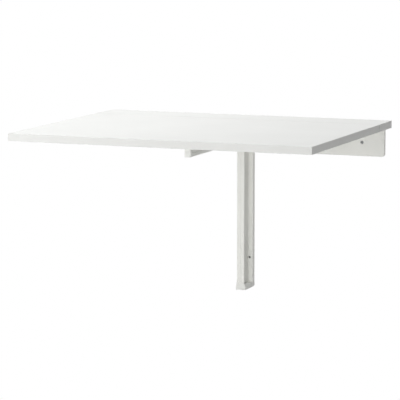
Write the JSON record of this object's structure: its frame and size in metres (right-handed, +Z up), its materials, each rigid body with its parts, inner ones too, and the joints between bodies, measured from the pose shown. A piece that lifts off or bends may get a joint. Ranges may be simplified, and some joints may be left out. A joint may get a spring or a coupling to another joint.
{
  "type": "wall mounted drop leaf table",
  "caption": "White table top on a steel wall plate: a narrow fixed shelf with a hinged drop leaf, carried by a wall post with a fold-down arm.",
  "frame": {"origin": "midway between the two screw holes of the wall plate, on the wall", "axes": "+X to the right along the wall, +Y into the wall, so the leaf stands out along -Y, +Z up"},
  "size_m": [0.74, 0.6, 0.4356],
  "materials": {
    "white_foil": "white melamine foil on particle board, satin",
    "white_edging": "white ABS edging, satin",
    "white_steel": "white powder coating, fine texture",
    "white_plastic": "white moulded plastic, satin",
    "zinc_steel": "zinc plated",
    "catch_steel": "zinc plated, brushed",
    "spring_steel": "drawn spring wire",
    "grey_plastic": "grey moulded plastic",
    "nylon": "natural nylon",
    "pad_rubber": "black rubber, matt"
  },
  "bodies": {
    "frame": {"shelf_board": "white_foil", "shelf_edging": "white_edging", "wall_plate": "white_steel", "wall_bushes": "grey_plastic", "shelf_screws": "zinc_steel", "hinge_fixed_plate_1": "zinc_steel", "hinge_fixed_plate_2": "zinc_steel", "hinge_fixed_plate_3": "zinc_steel", "hinge_fixed_plate_4": "zinc_steel", "hinge_pin_1": "zinc_steel", "hinge_pin_2": "zinc_steel", "hinge_pin_3": "zinc_steel", "hinge_pin_4": "zinc_steel", "hinge_shelf_screws": "zinc_steel", "wall_post": "white_steel", "post_sleeves": "zinc_steel", "post_foot_cap": "white_plastic", "post_screws": "zinc_steel", "cheek_left": "white_steel", "cheek_right": "white_steel", "cheek_rivets": "zinc_steel", "pivot_pin": "zinc_steel", "pivot_clip": "zinc_steel", "pivot_washers": "nylon", "catch_rivet": "zinc_steel", "catch_spring": "spring_steel"},
    "leaf": {"drop_leaf": "white_foil", "leaf_edging": "white_edging", "hinge_moving_plate_1": "zinc_steel", "hinge_moving_plate_2": "zinc_steel", "hinge_moving_plate_3": "zinc_steel", "hinge_moving_plate_4": "zinc_steel", "hinge_leaf_screws": "zinc_steel"},
    "arm": {"support_arm": "white_steel", "arm_bushes": "nylon", "arm_end_cap": "white_plastic", "arm_pad": "pad_rubber"},
    "catch": {"catch_lever": "catch_steel"}
  },
  "joints": [
    {"name": "leaf_fold", "type": "hinge", "parent": "frame", "child": "leaf", "pos_m": [0, -0.103, 0.035], "axis": [1, 0, 0], "range_deg": [0, 90]},
    {"name": "arm_fold", "type": "hinge", "parent": "frame", "child": "arm", "pos_m": [-0.006, -0.056, 0.006], "axis": [1, 0, 0], "range_deg": [0, 90]},
    {"name": "catch_release", "type": "hinge", "parent": "frame", "child": "catch", "pos_m": [0.008, -0.048, -0.014], "axis": [-1, 0, 0], "range_deg": [0, 15], "stiffness_Nm_per_rad": 0.03, "springref_deg": -17.19}
  ],
  "couplings": [
    {"joint": "arm_fold", "follows": "leaf_fold", "ratio": 1}
  ]
}
